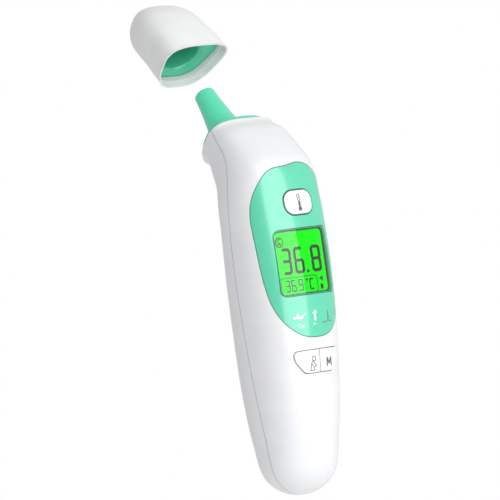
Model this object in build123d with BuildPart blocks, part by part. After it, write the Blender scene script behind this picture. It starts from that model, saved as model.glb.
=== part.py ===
from build123d import *
import os
from math import copysign, cos, floor, hypot, pi, radians, sin

# Digital ear thermometer with its probe cap pulled off along the probe.
# Millimetres. +Z runs up the handle, -Y is the display side, X = 0 is the plane of symmetry.
# The origin is under the rounded end of the handle.

# ---- driving dimensions ----------------------------------------------------------------------
WALL = 2.2                  # housing wall
SEAM = 0.2                  # gap seen between two housing pieces
SLIP = 0.1                  # clearance round a piece that only has to drop in
RING_POINTS = 24            # points that carry one cross-section of the housing
SECTION_STEP = 5.0          # distance between cross-sections up the housing

END_HEIGHT = 14.0           # height of the rounded lower end
END_CENTRE = -3.8
END_ANGLES = (10, 24, 38, 52, 66, 80)

# one cross-section a row: (height, centre in Y, tilt in degrees, half width, half depth, squareness)
SPINE = [
    (14.0, -3.9, 0.0, 14.3, 14.4, 2.2),
    (24.0, -4.4, 0.0, 15.5, 16.3, 2.3),
    (42.0, -5.6, 0.0, 17.2, 18.1, 2.3),
    (62.0, -7.0, 0.0, 18.1, 19.0, 2.3),
    (82.0, -8.0, 0.0, 18.7, 18.9, 2.3),
    (98.0, -8.5, 0.0, 18.9, 17.7, 2.3),
    (109.5, -8.3, 5.0, 18.6, 16.9, 2.35),
    (117.5, -7.7, 12.0, 17.6, 16.3, 2.5),
    (124.4, -2.7, 22.5, 15.7, 15.0, 2.7),
    (129.8, 1.5, 28.0, 14.6, 13.2, 2.9),
    (134.2, 7.45, 33.0, 13.4, 12.3, 3.0),
]
HEAD_TAPER = 0.22           # the head is narrower towards its back
PROBE_FOOT = (8.5, 133.5)   # where the probe's axis meets the rim's plane: (Y, Z)
RIM_WALL = 1.4              # thin edge round the head plate
REBATE_DEPTH = 3.8          # how far down in the rim the head plate sits

# where the front and rear shells meet, seen from the side: (Y, Z)
PARTING = [(-4.6, -2), (-5.4, 14), (-5.7, 45), (-5.9, 85), (-7.2, 104), (-7.9, 115), (-6.0, 127),
           (1.7, 137.3), (5.5, 142)]
LAP_DEPTH, LAP_REACH = 1.1, 1.4        # the tongue inside that joint

# front panel, one half of its outline: (X, Z)
PANEL_HALF = [(9.3, 119.7), (15.0, 112.6), (16.9, 96.0), (15.8, 76.5), (11.8, 63.2), (5.6, 57.9)]
PANEL_TOP, PANEL_BOTTOM = 121.1, 57.0
PANEL_THICK = 1.3
PANEL_LEDGE = 2.2
PANEL_START = 12.0          # front-view cuts begin this far in front of the Z axis

SCREEN_WIDTH, SCREEN_HEIGHT, SCREEN_Z, SCREEN_CORNER = 23.8, 23.8, 85.0, 2.0
WINDOW_THICK = 1.1

SCAN_WIDTH, SCAN_HEIGHT, SCAN_Z, SCAN_CORNER = 12.3, 8.7, 106.7, 3.6
KEY_TOP, KEY_BOTTOM = 52.5, 44.2       # the pair of lower keys, a bowl with a flat top edge
KEY_GAP, KEY_PROUD, KEY_TRAVEL = 0.22, 0.35, 0.45
KEY_FLANGE, KEY_LIP = 0.9, 1.0         # the flange that stops a key from coming out
KEY_X, KEY_Z = 4.9, 48.6

BOARD_FRONT, BOARD_THICK = -15.5, 1.6
BOARD_LOW, BOARD_HIGH, BOARD_HALF = 42.5, 115.0, 12.2
LCD_FRONT, LCD_THICK, LCD_HALF, LCD_LOW, LCD_HIGH = -21.4, 2.0, 11.8, 72.0, 98.0
STRIP_HEIGHT = 1.6
SWITCH_SIZE, SWITCH_HEIGHT = 5.2, 2.6
BUTTON_RADIUS, BUTTON_PROUD, BUTTON_SUNK = 1.2, 1.0, 0.9

CELL_RADIUS, CELL_LENGTH, CELL_X, CELL_Y, CELL_LOW = 5.25, 43.4, 5.6, 2.3, 20.9
NUB_RADIUS, NUB_LENGTH = 1.9, 1.0
TRAY_WALL, TRAY_FRONT, TRAY_BACK = 1.1, -4.3, 6.8
CONTACT_THICK = 0.35
COVER_TOP, COVER_PLANE = 64.0, 7.0     # battery cover: below this height and behind this plane
COVER_WALL = 1.9

SCREW_PLACES = [(-12.6, 69.0), (12.6, 69.0), (-12.5, 102.8), (12.5, 102.8)]
SCREW_SEAT, SCREW_TIP, SCREW_RADIUS, SCREW_HEAD, BOSS_RADIUS = 1.5, -11.5, 1.0, 1.9, 2.6
BOARD_SCREW_PLACES = [(-9.3, 56.2), (9.3, 56.2)]

PROBE_TIP, PROBE_TIP_RADIUS, PROBE_BASE_RADIUS = 23.4, 4.0, 6.7
PROBE_FLANGE_RADIUS, PROBE_FLANGE_TOP = 8.3, 1.5
PLATE_CROWN, PLATE_DOME, PLATE_EDGE = 3.5, 80.0, 1.0
BARREL_RADIUS = 2.8

CAP_HEIGHT, CAP_WALL = 32.0, 1.4
CAP_LEAN, CAP_NARROW = 0.12, 0.07      # per millimetre of height
CAP_CURL = 0.0042           # how the lean grows towards the top
CAP_SHOULDER = 0.58         # share of the height where the round top starts
CAP_LIP = 0.7               # thin edge round the cap's mouth
CAP_TRAVEL = 36.0           # how far the cap stands off its seat in this model
LINER_EDGE, POCKET_FLOOR = 3.6, 24.4
POCKET_WALL = 0.8
RIM_FACE = 0.15             # the cap's rim is faced flat this far above its seat

# ---- frames ----------------------------------------------------------------------------------
HEAD_HEIGHT, HEAD_Y, HEAD_TILT, HEAD_WIDTH, HEAD_DEPTH, HEAD_SQUARE = SPINE[-1]
TILT = radians(HEAD_TILT)
PROBE_DIRECTION = (0, sin(TILT), cos(TILT))
ACROSS_PROBE = (0, -cos(TILT), sin(TILT))
RIM = Plane(origin=(0, HEAD_Y, HEAD_HEIGHT), x_dir=(1, 0, 0), z_dir=PROBE_DIRECTION)
HEAD = Plane(origin=(0, *PROBE_FOOT), x_dir=(1, 0, 0), z_dir=PROBE_DIRECTION)
HEAD_SIDE = Plane(origin=HEAD.origin, x_dir=(1, 0, 0), z_dir=ACROSS_PROBE)
CAP = HEAD.offset(CAP_TRAVEL)
CAP_RIM = RIM.offset(CAP_TRAVEL)
CAP_SIDE = Plane(origin=CAP.origin, x_dir=(1, 0, 0), z_dir=ACROSS_PROBE)
FRONT = Plane.XZ            # sketches seen from the front, which extrude towards -Y
REACH = 40.0                # longer than any piece is deep

os.makedirs("parts", exist_ok=True)


# ---- shared forms ----------------------------------------------------------------------------
def ring(half_width, half_depth, squareness, taper=0.0):
    """Points round one cross-section, a rounded square that can narrow towards its back."""
    points = []
    for step in range(RING_POINTS):
        turn = 2 * pi * (step + 0.5) / RING_POINTS
        across = copysign(abs(cos(turn)) ** (2 / squareness), cos(turn))
        back = copysign(abs(sin(turn)) ** (2 / squareness), sin(turn))
        points.append((half_width * across * (1 - taper * back), half_depth * back))
    return points


def tilted(height, centre, tilt):
    """Plane of one cross-section, leaning back by tilt degrees."""
    lean = radians(tilt)
    return Plane(origin=(0, centre, height), x_dir=(1, 0, 0), z_dir=(0, sin(lean), cos(lean)))


def along_spine():
    """Evenly spaced rows between the rows of SPINE, on smooth curves through them."""
    places = [0.0]
    for low, high in zip(SPINE, SPINE[1:]):
        places.append(places[-1] + hypot(high[0] - low[0], high[1] - low[1]))

    def slope(index):
        before, after = max(index - 1, 0), min(index + 1, len(SPINE) - 1)
        run = places[after] - places[before]
        return [(b - a) / run for a, b in zip(SPINE[before], SPINE[after])]

    count = floor(places[-1] / SECTION_STEP)
    rows = []
    for step in range(1, count + 1):
        place = places[-1] * step / count
        index = max(i for i in range(len(SPINE) - 1) if places[i] < place)
        run = places[index + 1] - places[index]
        s = (place - places[index]) / run
        low, high, leave, arrive = SPINE[index], SPINE[index + 1], slope(index), slope(index + 1)
        rows.append([(2 * s**3 - 3 * s**2 + 1) * a + (s**3 - 2 * s**2 + s) * run * m
                     + (3 * s**2 - 2 * s**3) * b + (s**3 - s**2) * run * n
                     for a, b, m, n in zip(low, high, leave, arrive)])
    return rows


def loop(points):
    """Smooth closed curve. Equal steps between its points keep lofted surfaces simple."""
    steps = [step / len(points) for step in range(len(points) + 1)]
    return Edge.make_spline([Vector(*point) for point in points], periodic=True, parameters=steps)


def lofted(rows):
    """Smooth closed solid through a list of (plane, points)."""
    with BuildPart() as form:
        for plane, points in rows:
            with BuildSketch(plane):
                with BuildLine():
                    add(loop(points))
                make_face()
        loft()
    return form.part


def housing_form(inset, top_extra=0.0):
    """The whole handle and head as one solid, its surface moved in by inset."""
    rows = []
    end_width, end_depth = SPINE[0][3] - inset, SPINE[0][4] - inset
    for angle in END_ANGLES:
        rise = (END_HEIGHT - inset) * cos(radians(angle))
        grow = sin(radians(angle))
        rows.append((tilted(END_HEIGHT - rise, END_CENTRE, 0),
                     ring(end_width * grow, end_depth * grow, SPINE[0][5])))
    for height, centre, tilt, width, depth, square in along_spine():
        taper = HEAD_TAPER * max(0.0, tilt / HEAD_TILT - 0.3) / 0.7
        rows.append((tilted(height, centre, tilt), ring(width - inset, depth - inset, square, taper)))
    if top_extra:
        rows.append((RIM.offset(top_extra), rows[-1][1]))
    return lofted(rows)


def cap_form(inset):
    """The cap's closed form, outer or inner. It leans back and ends in a soft round top."""
    height = CAP_HEIGHT - inset
    shoulder = CAP_HEIGHT * CAP_SHOULDER

    def station(rise, shrink):
        width = (HEAD_WIDTH - CAP_NARROW * rise - inset) * shrink
        depth = (HEAD_DEPTH - inset) * shrink
        square = HEAD_SQUARE - 0.5 * rise / height
        centre = CAP_RIM.from_local_coords((0, CAP_LEAN * rise + CAP_CURL * rise**2, rise))
        plane = Plane(origin=centre, x_dir=(1, 0, 0), z_dir=PROBE_DIRECTION)
        return plane, ring(width, depth, square, HEAD_TAPER)

    rows = [station(shoulder * share, 1.0) for share in (0, 0.25, 0.5, 0.75)]
    for angle in (0, 20, 38, 54, 68, 80):
        rows.append(station(shoulder + (height - shoulder) * sin(radians(angle)),
                            cos(radians(angle)) ** 0.8))
    return lofted(rows)


def forward(outline, start=0.0, reach=REACH):
    """Bar with a front-view outline, from y = -start towards the front."""
    with BuildPart() as bar:
        extrude(outline.moved(Location((0, -start, 0))), amount=reach, dir=(0, -1, 0))
    return bar.part


def disc_bar(plane, radius, length):
    """Round bar standing on a plane."""
    with BuildPart() as bar:
        with BuildSketch(plane):
            Circle(radius)
        extrude(amount=length)
    return bar.part


def pins(places, radius, low, high):
    """Round bars along Y between two values of y, one at each (x, z)."""
    with BuildPart() as bars:
        with BuildSketch(FRONT.offset(-high)):
            with Locations(*places):
                Circle(radius)
        extrude(amount=high - low)
    return bars.part


def block(x_low, x_high, y_low, y_high, z_low, z_high):
    """Box given by its lowest and highest corners."""
    with BuildPart() as box:
        with BuildSketch(Plane.XY.offset(z_low)):
            with Locations(((x_low + x_high) / 2, (y_low + y_high) / 2)):
                Rectangle(x_high - x_low, y_high - y_low)
        extrude(amount=z_high - z_low)
    return box.part


def behind_parting(shift):
    """Everything on the rear side of the joint between the shells, moved by shift in Y."""
    with BuildPart() as region:
        with BuildSketch(Plane.YZ):
            with BuildLine():
                edge = Spline(*[(y + shift, z) for y, z in PARTING])
                Polyline(edge @ 1, (60, PARTING[-1][1]), (60, PARTING[0][1]), edge @ 0)
            make_face()
        extrude(amount=REACH, both=True)
    return region.part


def rim_bar(inset, low, high):
    """Bar with the outline of the head's rim, along the probe."""
    with BuildPart() as bar:
        with BuildSketch(RIM.offset(low)):
            with BuildLine():
                add(loop(ring(HEAD_WIDTH - inset, HEAD_DEPTH - inset, HEAD_SQUARE, HEAD_TAPER)))
            make_face()
        extrude(amount=high - low)
    return bar.part


def grown(points, amount):
    """A clockwise closed outline moved outwards, each point square to its neighbours."""
    moved = []
    for index, (x, z) in enumerate(points):
        before, after = points[index - 1], points[(index + 1) % len(points)]
        run_x, run_z = after[0] - before[0], after[1] - before[1]
        length = hypot(run_x, run_z)
        moved.append((x - amount * run_z / length, z + amount * run_x / length))
    return moved


def panel_outline(grow=0.0):
    left = [(-x, z) for x, z in reversed(PANEL_HALF)]
    points = [(0, PANEL_TOP), *PANEL_HALF, (0, PANEL_BOTTOM), *left]
    with BuildSketch(FRONT) as outline:
        with BuildLine():
            Spline(*grown(points, grow), periodic=True)
        make_face()
    return outline.sketch


def rounded_outline(width, height, corner, centre_z, grow=0.0):
    with BuildSketch(FRONT) as outline:
        with Locations((0, centre_z)):
            RectangleRounded(width + 2 * grow, height + 2 * grow, corner + grow)
    return outline.sketch


def scan_outline(grow=0.0):
    return rounded_outline(SCAN_WIDTH, SCAN_HEIGHT, SCAN_CORNER, SCAN_Z, grow)


def screen_outline(grow=0.0):
    return rounded_outline(SCREEN_WIDTH, SCREEN_HEIGHT, SCREEN_CORNER, SCREEN_Z, grow)


def key_outline(side, inner_edge, grow=0.0):
    """One lower key seen from the front; side is -1 or 1."""
    with BuildSketch(FRONT) as outline:
        with BuildLine():
            path = FilletPolyline((side * inner_edge, KEY_TOP + grow),
                                  (side * (10.3 + grow), KEY_TOP + grow),
                                  (side * (9.5 + grow), 48.6),
                                  (side * (6.4 + grow), KEY_BOTTOM - grow),
                                  (side * inner_edge, KEY_BOTTOM - grow),
                                  radius=[1.5 + grow, 4.0, 2.8 + grow])
            Line(path @ 1, path @ 0)
        make_face()
    return outline.sketch


outer = housing_form(0)
inner = housing_form(WALL, 5)
under_panel = housing_form(PANEL_THICK)
panel_bed = housing_form(PANEL_THICK + SLIP)
lap_form = housing_form(LAP_DEPTH)
tongue_form = housing_form(LAP_DEPTH + SLIP)
boss_form = housing_form(PANEL_THICK + 2 * SLIP)
content_form = housing_form(WALL + 2 * SLIP)
key_top_form = housing_form(-KEY_PROUD)
rear_region = behind_parting(SEAM / 2)
front_cutter = behind_parting(-SEAM / 2)
rebate = rim_bar(RIM_WALL, -REBATE_DEPTH, 6)
cover_region = block(-REACH, REACH, COVER_PLANE + SEAM / 2, 60, -5, COVER_TOP - SEAM / 2)
cover_opening = block(-REACH, REACH, COVER_PLANE - SEAM / 2, 60, -5, COVER_TOP + SEAM / 2)

with BuildPart() as hollow:
    add(outer)
    add(inner, mode=Mode.SUBTRACT)
    add(rebate, mode=Mode.SUBTRACT)

# ---- front shell: display side of the housing --------------------------------------------------
both_keys = [key_outline(side, 0, KEY_GAP) for side in (-1, 1)]
with BuildPart() as groove:
    add(lap_form)
    add(behind_parting(-LAP_REACH - SLIP), mode=Mode.INTERSECT)
with BuildPart() as panel_recess:
    add(forward(panel_outline(SEAM / 2), PANEL_START))
    add(panel_bed, mode=Mode.SUBTRACT)
with BuildPart() as front_bosses:
    add(pins(SCREW_PLACES, BOSS_RADIUS, -22, -3))
    add(pins(BOARD_SCREW_PLACES, 1.9, -25, BOARD_FRONT))
    add(boss_form, mode=Mode.INTERSECT)
    add(front_cutter, mode=Mode.SUBTRACT)
with BuildPart() as front_shell:
    add(hollow.part)
    add(front_cutter, mode=Mode.SUBTRACT)
    add(groove.part, mode=Mode.SUBTRACT)
    add(panel_recess.part, mode=Mode.SUBTRACT)
    add(forward(panel_outline(-PANEL_LEDGE), PANEL_START), mode=Mode.SUBTRACT)
    for outline in both_keys:
        add(forward(outline, PANEL_START), mode=Mode.SUBTRACT)
    add(front_bosses.part)
    add(pins(SCREW_PLACES, SCREW_RADIUS + 0.05, SCREW_TIP - 0.6, 0), mode=Mode.SUBTRACT)
    add(pins(BOARD_SCREW_PLACES, 0.85, -20.5, BOARD_FRONT), mode=Mode.SUBTRACT)
front_shell.part.label = "front_shell"
export_step(front_shell.part, "parts/front_shell.step")

# ---- rear shell: back of the housing, open under the battery cover -----------------------------
with BuildPart() as tongue:
    add(tongue_form)
    add(inner, mode=Mode.SUBTRACT)
    add(rebate, mode=Mode.SUBTRACT)
    add(behind_parting(-LAP_REACH), mode=Mode.INTERSECT)
    add(behind_parting(1.0), mode=Mode.SUBTRACT)
with BuildPart() as rear_bosses:
    add(pins(SCREW_PLACES, BOSS_RADIUS, -8, 12))
    add(boss_form, mode=Mode.INTERSECT)
    add(rear_region, mode=Mode.INTERSECT)
with BuildPart() as rear_half:
    add(hollow.part)
    add(rear_region, mode=Mode.INTERSECT)
    add(cover_opening, mode=Mode.SUBTRACT)
    add(tongue.part)
    add(rear_bosses.part)
    add(pins(SCREW_PLACES, SCREW_RADIUS + 0.15, -20, 20), mode=Mode.SUBTRACT)
    add(pins(SCREW_PLACES, SCREW_HEAD + 0.2, SCREW_SEAT, 20), mode=Mode.SUBTRACT)
with BuildPart() as rear_shell:
    add(rear_half.part.solids().sort_by(SortBy.VOLUME)[-1])
rear_shell.part.label = "rear_shell"
export_step(rear_shell.part, "parts/rear_shell.step")

# ---- battery cover: slides down off the lower back ---------------------------------------------
GRIP_RIBS, GRIP_PITCH, GRIP_Z = 5, 2.0, 52.0
cover_inner = housing_form(COVER_WALL)
with BuildPart() as battery_cover:
    add(outer)
    add(cover_inner, mode=Mode.SUBTRACT)
    add(cover_region, mode=Mode.INTERSECT)
    for rib in range(GRIP_RIBS):
        height = GRIP_Z + (rib - (GRIP_RIBS - 1) / 2) * GRIP_PITCH
        with BuildSketch(Plane.XZ.offset(-20)):
            with Locations((0, height)):
                SlotOverall(11, 0.8)
        extrude(amount=8.1, mode=Mode.SUBTRACT)
battery_cover.part.label = "battery_cover"
export_step(battery_cover.part, "parts/battery_cover.step")

# ---- front panel and display window ------------------------------------------------------------
with BuildPart() as front_panel:
    add(outer)
    add(forward(panel_outline(-SEAM / 2), PANEL_START), mode=Mode.INTERSECT)
    add(under_panel, mode=Mode.SUBTRACT)
    add(forward(screen_outline(SLIP / 2), PANEL_START), mode=Mode.SUBTRACT)
    add(forward(scan_outline(KEY_GAP), PANEL_START), mode=Mode.SUBTRACT)
front_panel.part.label = "front_panel"
export_step(front_panel.part, "parts/front_panel.step")

window_back = housing_form(WINDOW_THICK)
with BuildPart() as display_window:
    add(outer)
    add(forward(screen_outline(), PANEL_START), mode=Mode.INTERSECT)
    add(window_back, mode=Mode.SUBTRACT)
display_window.part.label = "display_window"
export_step(display_window.part, "parts/display_window.step")

# ---- keys, each with a flange behind the wall and a stem to its switch -------------------------
STEM_END = BOARD_FRONT - SWITCH_HEIGHT - BUTTON_PROUD - 0.02


def key_solid(outline, flange_outline, wall, stem_place):
    """Key cap that follows the housing surface, its flange inside the wall, and its stem."""
    flange_front = housing_form(wall + SLIP)
    flange_back = housing_form(wall + SLIP + KEY_FLANGE)
    with BuildPart() as key:
        add(key_top_form)
        add(forward(outline, PANEL_START), mode=Mode.INTERSECT)
        add(flange_back, mode=Mode.SUBTRACT)
    with BuildPart() as flange:
        add(flange_front)
        add(forward(flange_outline, PANEL_START), mode=Mode.INTERSECT)
        add(flange_back, mode=Mode.SUBTRACT)
    with BuildPart() as stem:
        add(pins([stem_place], 1.7, -25, STEM_END))
        add(flange_front, mode=Mode.INTERSECT)
    with BuildPart() as whole:
        add(key.part)
        add(flange.part)
        add(stem.part)
    return whole.part


with BuildPart() as scan_key:
    add(key_solid(scan_outline(), scan_outline(KEY_LIP), PANEL_THICK, (0, SCAN_Z)))
scan_key.part.label = "scan_key"
export_step(scan_key.part, "parts/scan_key.step")

with BuildPart() as age_key:
    add(key_solid(key_outline(-1, KEY_GAP / 2), key_outline(-1, KEY_GAP / 2, KEY_LIP), WALL,
                  (-KEY_X, KEY_Z)))
age_key.part.label = "age_key"
export_step(age_key.part, "parts/age_key.step")

with BuildPart() as memory_key:
    add(key_solid(key_outline(1, KEY_GAP / 2), key_outline(1, KEY_GAP / 2, KEY_LIP), WALL,
                  (KEY_X, KEY_Z)))
memory_key.part.label = "memory_key"
export_step(memory_key.part, "parts/memory_key.step")

# ---- tact switches and their moving buttons ----------------------------------------------------
SWITCH_PLACES = {"scan_switch_button": (0, SCAN_Z), "age_switch_button": (-KEY_X, KEY_Z),
                 "memory_switch_button": (KEY_X, KEY_Z)}
switch_top = BOARD_FRONT - SWITCH_HEIGHT
with BuildPart() as tact_switches:
    with BuildSketch(FRONT.offset(-BOARD_FRONT)):
        with Locations(*SWITCH_PLACES.values()):
            RectangleRounded(SWITCH_SIZE, SWITCH_SIZE, 0.5)
    extrude(amount=SWITCH_HEIGHT)
    add(pins(SWITCH_PLACES.values(), BUTTON_RADIUS + 0.1, switch_top, switch_top + 1.5),
        mode=Mode.SUBTRACT)
tact_switches.part.label = "tact_switches"
export_step(tact_switches.part, "parts/tact_switches.step")

for name, place in SWITCH_PLACES.items():
    with BuildPart() as switch_button:
        add(pins([place], BUTTON_RADIUS, switch_top - BUTTON_PROUD, switch_top + BUTTON_SUNK))
        chamfer(switch_button.edges().group_by(Axis.Y)[0], 0.2)
    switch_button.part.label = name
    export_step(switch_button.part, "parts/" + name + ".step")

# ---- circuit board and what is on it -----------------------------------------------------------
board_back = BOARD_FRONT + BOARD_THICK
board_middle = (BOARD_LOW + BOARD_HIGH) / 2
with BuildPart() as main_board:
    with BuildSketch(FRONT.offset(-board_back)):
        with Locations((0, board_middle)):
            RectangleRounded(2 * BOARD_HALF, BOARD_HIGH - BOARD_LOW, 3)
        with Locations(*SCREW_PLACES):
            Circle(BOSS_RADIUS + 0.4, mode=Mode.SUBTRACT)
        with Locations(*BOARD_SCREW_PLACES):
            Circle(1.1, mode=Mode.SUBTRACT)
    extrude(amount=BOARD_THICK)
    add(content_form, mode=Mode.INTERSECT)
main_board.part.label = "main_board"
export_step(main_board.part, "parts/main_board.step")

with BuildPart() as processor_chip:
    with BuildSketch(FRONT.offset(-board_back - 1.2)):
        with Locations((0, 88)):
            RectangleRounded(8, 8, 0.3)
    extrude(amount=1.2)
processor_chip.part.label = "processor_chip"
export_step(processor_chip.part, "parts/processor_chip.step")

with BuildPart() as board_components:
    with BuildSketch(FRONT.offset(-board_back - 0.8)):
        for row in range(4):
            with Locations((-8, 80 + 3 * row), (7.5, 81 + 3 * row)):
                Rectangle(2.0, 1.2)
        with Locations((0, 98), (4.5, 97.5)):
            Rectangle(3.2, 2.6)
    extrude(amount=0.8)
board_components.part.label = "board_components"
export_step(board_components.part, "parts/board_components.step")

BUZZER_Z, BUZZER_RADIUS, BUZZER_HEIGHT = 71.5, 5.5, 4.0
with BuildPart() as buzzer:
    add(pins([(0, BUZZER_Z)], BUZZER_RADIUS, board_back, board_back + BUZZER_HEIGHT))
    fillet(buzzer.edges().group_by(Axis.Y)[-1], 0.5)
    add(pins([(0, BUZZER_Z)], 1.0, board_back + BUZZER_HEIGHT - 1, board_back + BUZZER_HEIGHT),
        mode=Mode.SUBTRACT)
buzzer.part.label = "buzzer"
export_step(buzzer.part, "parts/buzzer.step")

SOCKET_Z, SOCKET_DEEP = 111.0, 2.6
with BuildPart() as sensor_socket:
    add(block(-3.6, 3.6, board_back, board_back + SOCKET_DEEP, SOCKET_Z - 2, SOCKET_Z + 2))
    add(block(-2.3, 2.3, board_back + 0.9, board_back + 1.6, SOCKET_Z, SOCKET_Z + 3),
        mode=Mode.SUBTRACT)
sensor_socket.part.label = "sensor_socket"
export_step(sensor_socket.part, "parts/sensor_socket.step")

with BuildPart() as board_screws:
    add(pins(BOARD_SCREW_PLACES, 0.8, -19.8, board_back))
    add(pins(BOARD_SCREW_PLACES, 1.7, board_back, board_back + 1.1))
    with BuildSketch(FRONT.offset(-board_back - 1.1)):
        with Locations(*BOARD_SCREW_PLACES):
            Rectangle(2.0, 0.5)
            Rectangle(0.5, 2.0)
    extrude(amount=0.6, mode=Mode.SUBTRACT)
board_screws.part.label = "board_screws"
export_step(board_screws.part, "parts/board_screws.step")

# ---- display stack -----------------------------------------------------------------------------
lcd_back = LCD_FRONT + LCD_THICK
with BuildPart() as lcd_glass:
    add(block(-LCD_HALF, LCD_HALF, LCD_FRONT, lcd_back, LCD_LOW, LCD_HIGH))
lcd_glass.part.label = "lcd_glass"
export_step(lcd_glass.part, "parts/lcd_glass.step")

with BuildPart() as backlight:
    add(block(-LCD_HALF, LCD_HALF, lcd_back, lcd_back + 2.4, LCD_LOW + 2.2, LCD_HIGH - 2.2))
backlight.part.label = "backlight"
export_step(backlight.part, "parts/backlight.step")

with BuildPart() as contact_strips:
    for low in (LCD_LOW + 0.2, LCD_HIGH - 0.2 - STRIP_HEIGHT):
        add(block(-10.5, 10.5, lcd_back, BOARD_FRONT, low, low + STRIP_HEIGHT))
contact_strips.part.label = "contact_strips"
export_step(contact_strips.part, "parts/contact_strips.step")

with BuildPart() as lcd_frame:
    add(block(-LCD_HALF - 1, LCD_HALF + 1, -24, BOARD_FRONT, LCD_LOW - 1.2, LCD_HIGH + 1.2))
    add(panel_bed, mode=Mode.INTERSECT)
    add(forward(panel_outline(-PANEL_LEDGE - SLIP), PANEL_START), mode=Mode.INTERSECT)
    add(pins(SCREW_PLACES, BOSS_RADIUS + SLIP, -24, BOARD_FRONT), mode=Mode.SUBTRACT)
    add(block(-LCD_HALF - 0.1, LCD_HALF + 0.1, LCD_FRONT, BOARD_FRONT, LCD_LOW - 0.1, LCD_HIGH + 0.1),
        mode=Mode.SUBTRACT)
    add(forward(screen_outline(-0.5), PANEL_START), mode=Mode.SUBTRACT)
lcd_frame.part.label = "lcd_frame"
export_step(lcd_frame.part, "parts/lcd_frame.step")

# ---- head plate and probe ----------------------------------------------------------------------
with BuildPart() as plate_dome:
    with BuildSketch(HEAD_SIDE):
        with Locations((0, PLATE_CROWN - PLATE_DOME)):
            Circle(PLATE_DOME)
        with Locations((-PLATE_DOME, 0)):
            Rectangle(2 * PLATE_DOME, 8 * PLATE_DOME, mode=Mode.SUBTRACT)
    revolve(axis=Axis(HEAD.origin, PROBE_DIRECTION))
with BuildPart() as head_plate:
    add(rim_bar(RIM_WALL + 0.15, -REBATE_DEPTH + SLIP, 6))
    add(plate_dome.part, mode=Mode.INTERSECT)
    fillet(head_plate.faces().sort_by(Axis(HEAD.origin, PROBE_DIRECTION))[-1].edges(), PLATE_EDGE)
    add(rim_bar(RIM_WALL + 1.6, -8, PROBE_FLANGE_TOP + 0.05), mode=Mode.SUBTRACT)
    add(disc_bar(HEAD, 8.8, 4.1))
    add(disc_bar(HEAD, PROBE_BASE_RADIUS + 0.05, 9), mode=Mode.SUBTRACT)
    add(disc_bar(HEAD, PROBE_FLANGE_RADIUS + 0.1, PROBE_FLANGE_TOP + 0.05), mode=Mode.SUBTRACT)
head_plate.part.label = "head_plate"
export_step(head_plate.part, "parts/head_plate.step")

with BuildPart() as ear_probe:
    with BuildSketch(HEAD_SIDE):
        with BuildLine():
            Polyline((BARREL_RADIUS + 0.08, 0.3), (PROBE_FLANGE_RADIUS, 0.3),
                     (PROBE_FLANGE_RADIUS, PROBE_FLANGE_TOP), (PROBE_BASE_RADIUS, PROBE_FLANGE_TOP),
                     (PROBE_BASE_RADIUS, 4.0))
            cone = Spline((PROBE_BASE_RADIUS, 4.0), (5.3, 11.5), (PROBE_TIP_RADIUS, PROBE_TIP - 0.9))
            nose = RadiusArc(cone @ 1, (PROBE_TIP_RADIUS - 0.8, PROBE_TIP), -0.95)
            Polyline(nose @ 1, (2.35, PROBE_TIP), (2.35, PROBE_TIP - 0.5),
                     (BARREL_RADIUS + 0.08, PROBE_TIP - 0.5), (BARREL_RADIUS + 0.08, 0.3))
        make_face()
    revolve(axis=Axis(HEAD.origin, PROBE_DIRECTION))
ear_probe.part.label = "ear_probe"
export_step(ear_probe.part, "parts/ear_probe.step")

with BuildPart() as sensor_window:
    add(disc_bar(HEAD.offset(PROBE_TIP - 1.1), BARREL_RADIUS - 0.02, 0.58))
sensor_window.part.label = "sensor_window"
export_step(sensor_window.part, "parts/sensor_window.step")

with BuildPart() as sensor_barrel:
    add(disc_bar(HEAD.offset(-2.5), BARREL_RADIUS, PROBE_TIP - 1.15 + 2.5))
    add(disc_bar(HEAD.offset(-2.5), 4.4, 1.4))
    add(disc_bar(HEAD.offset(-3), BARREL_RADIUS - 0.4, PROBE_TIP + 4), mode=Mode.SUBTRACT)
sensor_barrel.part.label = "sensor_barrel"
export_step(sensor_barrel.part, "parts/sensor_barrel.step")

with BuildPart() as thermopile_sensor:
    add(disc_bar(HEAD.offset(15), BARREL_RADIUS - 0.45, 0.5))
    add(disc_bar(HEAD.offset(15.4), BARREL_RADIUS - 0.75, 3.1))
    with BuildSketch(HEAD.offset(-3.6)):
        with PolarLocations(1.2, 3):
            Circle(0.22)
    extrude(amount=18.7)
thermopile_sensor.part.label = "thermopile_sensor"
export_step(thermopile_sensor.part, "parts/thermopile_sensor.step")

with BuildPart() as sensor_board:
    add(disc_bar(HEAD.offset(-4.7), 5.4, 1.1))
sensor_board.part.label = "sensor_board"
export_step(sensor_board.part, "parts/sensor_board.step")

cable_start = HEAD.from_local_coords((0, 0, -4.75))
with BuildPart() as sensor_cable:
    with BuildSketch(Plane.YZ.offset(-1.9)):
        with BuildLine() as cable_path:
            FilletPolyline((cable_start.Y, cable_start.Z), (cable_start.Y - 2.8, cable_start.Z - 4.3),
                           (-6.8, SOCKET_Z + 5.6), (board_back + 1.25, SOCKET_Z + 3.2),
                           (board_back + 1.25, SOCKET_Z + 0.2), radius=[5.0, 3.2, 1.2])
        trace(line_width=0.35)
    extrude(amount=3.8)
sensor_cable.part.label = "sensor_cable"
export_step(sensor_cable.part, "parts/sensor_cable.step")

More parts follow.
